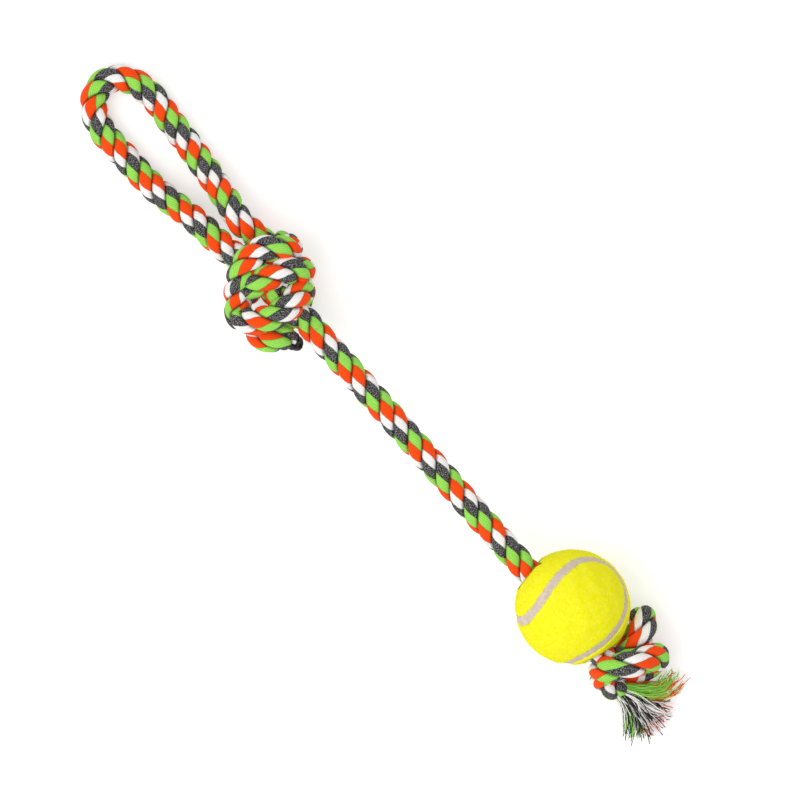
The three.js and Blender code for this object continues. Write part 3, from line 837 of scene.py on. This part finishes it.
def add_sealed_tip():
    """The melted end: rings about the tip's axis, swollen at the rope, round at the end and a little lumpy."""
    axis = unit(ROPE_PLACES[0] - ROPE_PLACES[4])
    start = ROPE_PLACES[0] - TIP_OVERLAP * axis
    side = unit(np.cross(axis, UP))
    other = np.cross(axis, side)
    profile = np.array(TIP_PROFILE) * MM
    rows = np.linspace(0, len(profile) - 1, TIP_ROWS)
    reach = np.interp(rows, np.arange(len(profile)), profile[:, 0])
    radius = np.interp(rows, np.arange(len(profile)), profile[:, 1])
    angle = TURN * np.arange(TIP_COLUMNS) / TIP_COLUMNS
    ring = np.cos(angle)[:, None] * side + np.sin(angle)[:, None] * other
    grid = start + reach[:, None, None] * axis + radius[:, None, None] * ring[None]
    lumps = 1 + 0.07 * ripple(grid, 5 * MM, 21) + 0.03 * ripple(grid, 1.6 * MM, 22)
    grid = start + reach[:, None, None] * axis + (radius[:, None] * lumps)[..., None] * ring[None]
    parts = Parts()
    parts.tube(grid, np.zeros((len(rows), len(angle) + 1, 2)))
    obj = parts.piece("sealed_rope_tip", SEALED_MATERIAL)
    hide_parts("tail_tip")
    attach(obj, "rope")


# Tassel


def ply_line(column, row):
    """A ply's line: out of the rope, where the plies lie close together, to the rope's end, then fanned out and
    dropped to what it lies on."""
    middle_row = (len(PLY_COLOURS[0]) - 1) / 2
    across = (column - (len(PLY_COLOURS) - 1) / 2) * PLY_PITCH
    up = (row - middle_row) * PLY_PITCH
    fan = math.radians(PLY_FAN_DEG[column] + (row - middle_row) * PLY_ROW_FAN_DEG)
    bend = TASSEL_HINGE + across * ACROSS + up * UP
    inside = np.argmin(np.abs(ROPE_ARC - ROPE_CUTS["tassel"] + YARN_ROOT_REACH))
    root = ROPE_PLACES[inside] + YARN_ROOT_PACK * (bend - TASSEL_HINGE)
    drop = bend[2] - FLOOR - PLY_DIAMETER / 2 - row * PLY_PITCH
    share = np.array(PLY_BENDS)
    turn = fan * np.sqrt(share)
    reach = PLY_LENGTHS[column] * share
    fall = drop * smooth_step(share, 0, PLY_FALL)
    tail = bend + np.stack([reach * np.cos(turn), reach * np.sin(turn), -fall], axis=1)
    return np.concatenate([[root, bend], tail])


def at_shares(values, shares):
    """Rows of an array at the given shares of its length, by straight interpolation."""
    place = shares * (len(values) - 1)
    return np.stack([np.interp(place, np.arange(len(values)), values[:, k]) for k in range(3)], axis=-1)


def ply_yarns(column, row, count, splay, rng):
    """Yarns of one ply: lines that leave the rope packed in a disc, and then spread square to the ply's line,
    wave and end where they like. A low ply's yarns come up among those above it, and charcoal and white ones
    go over to any ply of the fan. Returns count lines of YARN_STATIONS points."""
    lines = [even_line(ply_line(number, row), 0.5 * MM)[0] for number in range(len(PLY_COLOURS))]
    side_a, side_b = steady_frames(lines[column], 0, UP)[1:]
    share = np.linspace(0, 1, YARN_STATIONS)
    reach = share[None] * rng.uniform(*YARN_REACH[column], count)[:, None]
    goal = rng.integers(0, FAN_COLUMNS, count)
    if column >= FAN_COLUMNS or PLY_COLOURS[column][row] not in WANDERING_COLOURS:
        goal[:] = column
    goals = np.stack([at_shares(line, reach) for line in lines])[goal, np.arange(count)]
    centre, first, second = (at_shares(values, reach) for values in (lines[column], side_a, side_b))
    centre = centre + (share**0.6)[None, :, None] * (goals - centre)
    most = math.pi * (1 if row == len(PLY_COLOURS[0]) - 1 else LOW_YARN_TURN)
    angle = rng.uniform(-most, most, count)[:, None]
    radius = np.sqrt(rng.uniform(0, 1, count))[:, None]
    pack = radius * (PLY_DIAMETER / 2 * 0.9 + splay * share**0.9)
    wave = ripple(centre + 40 * MM * rng.uniform(-1, 1, (count, 1, 3)), 11 * MM, int(rng.integers(1e6)))
    lift = ripple(centre + 40 * MM * rng.uniform(-1, 1, (count, 1, 3)), 9 * MM, int(rng.integers(1e6)))
    loose = YARN_WAVE * share**0.8
    up = pack * np.cos(angle) + loose * lift
    over = pack * np.sin(angle) + loose * wave
    yarns = centre + up[..., None] * first + over[..., None] * second
    yarns[..., 2] = np.maximum(yarns[..., 2], FLOOR + YARN_RADIUS)
    return yarns


def yarn_tubes(parts, lines, thick, rng):
    """Round tubes of YARN_SIDES sides about the lines, a little thinner at their ends."""
    share = np.linspace(0, 1, lines.shape[1])
    for line in lines:
        side_a, side_b = steady_frames(line, 0, UP + 0.01 * ALONG)[1:]
        angle = TURN * np.arange(YARN_SIDES) / YARN_SIDES
        radius = thick * (1 - 0.35 * share**3) * rng.uniform(0.8, 1.2)
        ring = np.cos(angle)[None, :, None] * side_a[:, None] + np.sin(angle)[None, :, None] * side_b[:, None]
        grid = line[:, None] + radius[:, None, None] * ring
        along = 100 * np.concatenate([[0], np.cumsum(np.linalg.norm(np.diff(line, axis=0), axis=1))])
        across = 0.4 * np.arange(YARN_SIDES + 1) + rng.uniform(0, 9)
        uv = np.stack(np.broadcast_arrays(across[None, :], along[:, None]), axis=-1)
        parts.tube(grid, uv)


def add_tassel():
    """A bundle of yarns and fine hairs for each ply, fanned out from the rope's end."""
    rng = np.random.default_rng(31)
    made = {}
    for column, colours in enumerate(PLY_COLOURS):
        for row, colour in enumerate(colours):
            made[colour] = made.get(colour, 0) + 1
            parts = Parts()
            yarns = ply_yarns(column, row, YARNS_IN_PLY[colour], YARN_SPLAY[colour], rng)
            yarn_tubes(parts, yarns, YARN_RADIUS, rng)
            hairs = ply_yarns(column, row, HAIRS_IN_PLY, HAIR_SPLAY, rng)
            yarn_tubes(parts, hairs, HAIR_RADIUS, rng)
            obj = parts.piece(f"{colour}_tassel_yarns_{made[colour]}", YARN_MATERIALS[colour])
            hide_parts(f"tassel_{colour}_{made[colour]}")
            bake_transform(obj)


# Ball


def seam_curve(count):
    """Directions from the ball's centre to the seam, (a cos t + b cos 3t, a sin t - b sin 3t,
    2 sqrt(ab) sin 2t) with a + b = 1, turned about X, then Y, then Z, with the direction that crosses the seam
    at each."""
    t = np.linspace(0, TURN, count, endpoint=False)
    b = SEAM_SWING
    a = 1 - b
    points = np.stack([a * np.cos(t) + b * np.cos(3 * t), a * np.sin(t) - b * np.sin(3 * t),
                       2 * math.sqrt(a * b) * np.sin(2 * t)], axis=1)
    turn = np.eye(3)
    for axis, degrees in zip("XYZ", SEAM_TURN_DEG):
        turn = np.array(Matrix.Rotation(math.radians(degrees), 3, axis)) @ turn
    points = points @ turn.T
    ahead = np.roll(points, -1, axis=0) - np.roll(points, 1, axis=0)
    return points, unit(np.cross(points, ahead))


def seam_distance(directions):
    """How far each direction's point on the ball lies from the seam, with a sign for its side."""
    points, sides = seam_curve(SEAM_STATIONS)
    flat = directions.reshape(-1, 3)
    nearest = np.concatenate([np.argmax(part @ points.T, axis=1) for part in np.array_split(flat, 40)])
    to_side = np.einsum("ij,ij->i", flat, sides[nearest])
    return (BALL_RADIUS * np.arcsin(np.clip(to_side, -1, 1))).reshape(directions.shape[:-1])


BORE = np.array([0.0, SHAFT_AXIS[1] - BALL_CENTRE[1], SHAFT_AXIS[2] - BALL_CENTRE[2]])


def bore_ways(columns):
    """Directions square to the bore's line, and how far the line lies along each from the ball's centre."""
    angle = TURN * np.arange(columns) / columns
    way = np.stack([np.zeros(columns), np.cos(angle), np.sin(angle)], axis=1)
    return angle, way, way @ BORE


def sphere_x(radius, out, lean):
    """The X at which the sphere's surface lies that far out from the bore's line."""
    return np.sqrt(radius**2 - BORE @ BORE - 2 * out * lean - out**2)


def sphere_arcs(radius, nearest, sweep, lean):
    """Arcs over a sphere about the bore's line. Sweep runs from -1 to 1, between the places at each end where
    the arc comes nearest to the line. Returns X and the distance out from the line."""
    limit = np.arcsin(sphere_x(radius, nearest, lean) / radius)
    x = radius * np.sin(sweep[:, None] * limit)
    return x, -lean + np.sqrt(lean**2 - (BORE @ BORE + x**2 - radius**2))


def felt_half(mouth, lean):
    """Half of the felt's outer surface as rings about the bore's line, from the ball's middle over the outside
    and into a mouth, where the rings sink and close in on the rope. Returns X, the distance out from the line,
    and the share of felt free of dirt and painted shade, which falls at the edge of the mouth."""
    sweep = np.linspace(0, 1, FELT_ROWS // 2 - MOUTH_ROWS)
    x_open, out_open = sphere_arcs(BALL_RADIUS, mouth + MOUTH_REACH, sweep, lean)
    roll = np.linspace(0, 1, MOUTH_ROWS + 1)[1:, None]
    bend = np.minimum(roll / MOUTH_BEND_SHARE, 1) * math.pi / 2
    wall = np.maximum(roll - MOUTH_BEND_SHARE, 0) / (1 - MOUTH_BEND_SHARE)
    out_mouth = mouth + MOUTH_REACH * (1 - np.sin(bend))
    x_mouth = sphere_x(BALL_RADIUS, out_mouth, lean) - MOUTH_SINK * (1 - np.cos(bend)) - MOUTH_WALL * wall
    out = np.concatenate([out_open, out_mouth])
    # The felt darkens into the bore: brown dirt, and painted shade in the recess
    dirt_and_shade = smooth_step(mouth + MOUTH_REACH - out, -MOUTH_DIRT_AND_SHADE_REACH, MOUTH_DIRT_AND_SHADE_REACH)
    return np.concatenate([x_open, x_mouth]), out, 1 - MOUTH_DIRT_AND_SHADE_MOST * dirt_and_shade


def felt_grid():
    """The felt's outer surface, from inside the front mouth, which has a nick where the rubber shows, to inside
    the rear one, with the share of felt free of mouth dirt and painted shade at each point."""
    angle, way, lean = bore_ways(FELT_COLUMNS)
    from_nick = (angle - MOUTH_NICK_PLACE + math.pi) % TURN - math.pi
    mouth = np.full(FELT_COLUMNS, BORE_RADIUS + MOUTH_CLEARANCE)
    nick = MOUTH_NICK * np.exp(-((from_nick / MOUTH_NICK_ANGLE) ** 2))
    front = felt_half(mouth + nick, lean)
    rear = felt_half(mouth, lean)
    x = np.concatenate([-front[0][::-1], rear[0][1:]])
    out, unshaded_clean_share = (np.concatenate([front[k][::-1], rear[k][1:]]) for k in (1, 2))
    return BORE + x[..., None] * ALONG + out[..., None] * way[None], unshaded_clean_share


def felt_panels():
    """Both felt panels: the grid of the felt, with each side of the seam a piece of its own, whose edge rounds
    down under the seam's cement."""
    grid, unshaded_clean_share = felt_grid()
    directions = unit(grid)
    distance = seam_distance(directions)
    ragged = 0.28 * MM * ripple(grid, 2.6 * MM, 41) + 0.12 * MM * ripple(grid, 1.0 * MM, 42)
    flat = smooth_step(np.abs(distance) + ragged, SEAM_WIDTH / 2 - 0.3 * MM, SEAM_WIDTH / 2 + FELT_EDGE_ROUND)
    uneven = 0.16 * MM * ripple(grid, 9 * MM, 43) + 0.06 * MM * ripple(grid, 2.2 * MM, 44)
    height = uneven - FELT_EDGE_DROP * (1 - flat)
    grid = grid + height[..., None] * directions
    normals = unit(np.cross(np.roll(grid, -1, axis=1) - np.roll(grid, 1, axis=1), np.gradient(grid, axis=0)))
    places = (BALL_CENTRE + grid).reshape(-1, 3)
    inner = places - FELT_THICKNESS * normals.reshape(-1, 3)
    quads = grid_faces(*grid.shape[:2])
    side = distance.reshape(-1)[quads]
    rng = np.random.default_rng(45)
    panels = []
    for sign in (-1, 1):
        chosen = quads[(sign * side).min(axis=1) > SEAM_CUT_CLEARANCE]
        used, faces = np.unique(chosen, return_inverse=True)
        parts = Parts()
        both = np.concatenate([places[used], inner[used]])
        parts.plain(both, closed_sheet(faces.reshape(-1, 4), len(used)), np.tile(unshaded_clean_share.reshape(-1)[used], 2))
        panels.append((used, parts))
    return panels, places, directions.reshape(-1, 3), flat.reshape(-1), rng


def add_felt():
    """Both panels with their loose fibres. The panel that reaches furthest along X is the part's panel a."""
    panels, places, directions, flat, rng = felt_panels()
    longest = max(np.ptp(places[used, 0]) for used, parts in panels)
    for used, parts in panels:
        open_felt = used[flat[used] > OPEN_FELT]
        picked = rng.choice(open_felt, FELT_FIBRES)
        roots = places[picked]
        sway = unit(rng.normal(size=(FELT_FIBRES, 3)))
        out = directions[picked]
        way = unit(rng.uniform(*FELT_FIBRE_LIFTS, (FELT_FIBRES, 1)) * out + FELT_FIBRE_SWAY * sway)
        way += np.maximum(FELT_FIBRE_LEAST_RISE - np.einsum("ij,ij->i", way, out), 0)[:, None] * out
        ends = roots + way * rng.uniform(*FELT_FIBRE_LENGTHS, (FELT_FIBRES, 1))
        no_uv = np.zeros((FELT_FIBRES, 2))
        parts.fibres(roots - FIBRE_ROOT * out, on_floor(ends), FELT_FIBRE_RADIUS, no_uv)
        node = "felt_panel_a" if np.ptp(places[used, 0]) == longest else "felt_panel_b"
        obj = parts.piece(f"{node}_nap", FELT_MATERIAL)
        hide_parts(node)
        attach(obj, "ball")


def add_seam():
    """The cement: a flat oval section carried along the seam, with its top a little below the felt."""
    points, sides = seam_curve(SEAM_STATIONS)
    angle = TURN * np.arange(SEAM_COLUMNS) / SEAM_COLUMNS
    half = SEAM_WIDTH / 2 + SEAM_UNDERLAP
    across = half * np.sign(np.cos(angle)) * np.abs(np.cos(angle)) ** 0.6
    bulge = np.sign(np.sin(angle)) * np.abs(np.sin(angle)) ** 0.4
    up = -SEAM_RECESS - SEAM_HALF_DEPTH + SEAM_HALF_DEPTH * bulge
    lines = points[:, None] + (across / BALL_RADIUS)[None, :, None] * sides[:, None]
    grid = (BALL_RADIUS + up)[None, :, None] * lines
    grid = grid + (0.08 * MM * ripple(grid, 3 * MM, 51))[..., None] * points[:, None]
    parts = Parts()
    parts.plain(BALL_CENTRE + grid[:, ::-1], grid_faces(len(points), len(angle), ring=True))
    obj = parts.piece("seam_cement_band", SEAM_MATERIAL)
    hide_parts("seam_band")
    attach(obj, "ball")


def add_rubber():
    """Each half shell: a closed profile carried about the bore's line, over the outside from the joint to the
    mouth, along the bore, which stands out in a short lip at the mouth, and back along the inside."""
    angle, way, lean = bore_ways(RUBBER_COLUMNS)
    sweep = np.linspace(RUBBER_JOINT, 1, RUBBER_ROWS)
    x_out, reach_out = sphere_arcs(RUBBER_RADIUS, BORE_RADIUS, sweep, lean)
    x_in, reach_in = sphere_arcs(RUBBER_RADIUS - RUBBER_THICKNESS, BORE_RADIUS, sweep, lean)
    x_out = x_out + RUBBER_LIP * smooth_step(BORE_RADIUS + RUBBER_LIP_REACH - reach_out, 0, RUBBER_LIP_REACH)
    x = np.concatenate([x_out, x_in[::-1]])
    reach = np.concatenate([reach_out, reach_in[::-1]])
    for name, sign in (("rubber_half_front", -1), ("rubber_half_rear", 1)):
        grid = BALL_CENTRE + BORE + sign * x[..., None] * ALONG + reach[..., None] * way[None]
        if sign < 0:
            grid = grid[::-1]
        parts = Parts()
        parts.plain(grid, grid_faces(*grid.shape[:2], ring=True))
        obj = parts.piece(f"{name}_shell", RUBBER_MATERIAL)
        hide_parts(name)
        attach(obj, "ball")


# Stage


def add_stage():
    """A white floor that keeps the toy's soft shadow. It glows a little, as a lit table does, where it is seen
    straight, in a reflection or through something, and gives the toy no light of its own."""
    size = FLOOR_HALF_SIZE
    verts = [(-size, -size, FLOOR), (size, -size, FLOOR), (size, size, FLOOR), (-size, size, FLOOR)]
    mesh = bpy.data.meshes.new("floor")
    mesh.from_pydata(verts, [], [(0, 1, 2, 3)])
    material, nodes, shader = new_material("floor_white")
    nodes.tree.nodes.remove(shader)
    path = nodes.add("ShaderNodeLightPath").outputs
    seen = nodes.math("MAXIMUM", path["Is Camera Ray"], nodes.math("MAXIMUM", path["Is Glossy Ray"],
                                                                 path["Is Transmission Ray"]))
    diffuse = nodes.add("ShaderNodeBsdfDiffuse", {"Color": FLOOR_WHITE}).outputs[0]
    glow = nodes.add("ShaderNodeEmission", {"Strength": nodes.math("MULTIPLY", seen, FLOOR_LIFT)}).outputs[0]
    both = nodes.add("ShaderNodeAddShader", {0: diffuse, 1: glow}).outputs[0]
    nodes.tree.links.new(both, nodes.tree.nodes["Material Output"].inputs["Surface"])
    mesh.materials.append(material)
    floor = bpy.data.objects.new("floor", mesh)
    bpy.context.collection.objects.link(floor)


def add_light():
    """Even white light from all round, and one large soft lamp from the picture's left and a little below."""
    world = bpy.data.worlds.new("studio")
    world.use_nodes = True
    background = world.node_tree.nodes["Background"]
    background.inputs["Color"].default_value = (1, 1, 1, 1)
    background.inputs["Strength"].default_value = WORLD_STRENGTH
    bpy.context.scene.world = world
    picture_up = np.cross(UP, PICTURE_RIGHT)
    target = np.array([*PICTURE_CENTRE, LAMP_TARGET_HEIGHT])
    place = target + np.array(LAMP_PLACE) @ np.stack([PICTURE_RIGHT, picture_up, UP])
    data = bpy.data.lights.new("key", "AREA")
    data.shape = "DISK"
    data.size = LAMP_SIZE
    data.energy = LAMP_ENERGY
    lamp = bpy.data.objects.new("key", data)
    back = unit(place - target)
    side = unit(np.cross(picture_up, back))
    turn = Matrix(np.stack([side, np.cross(back, side), back], axis=1).tolist()).to_4x4()
    lamp.matrix_world = Matrix.Translation(place) @ turn
    bpy.context.collection.objects.link(lamp)


add_loop()
add_shaft()
add_handle_knot()
add_stopper_knot()
add_sealed_tip()
add_tassel()
add_felt()
add_seam()
add_rubber()
add_stage()
add_light()

bpy.context.scene.view_settings.view_transform = "Standard"
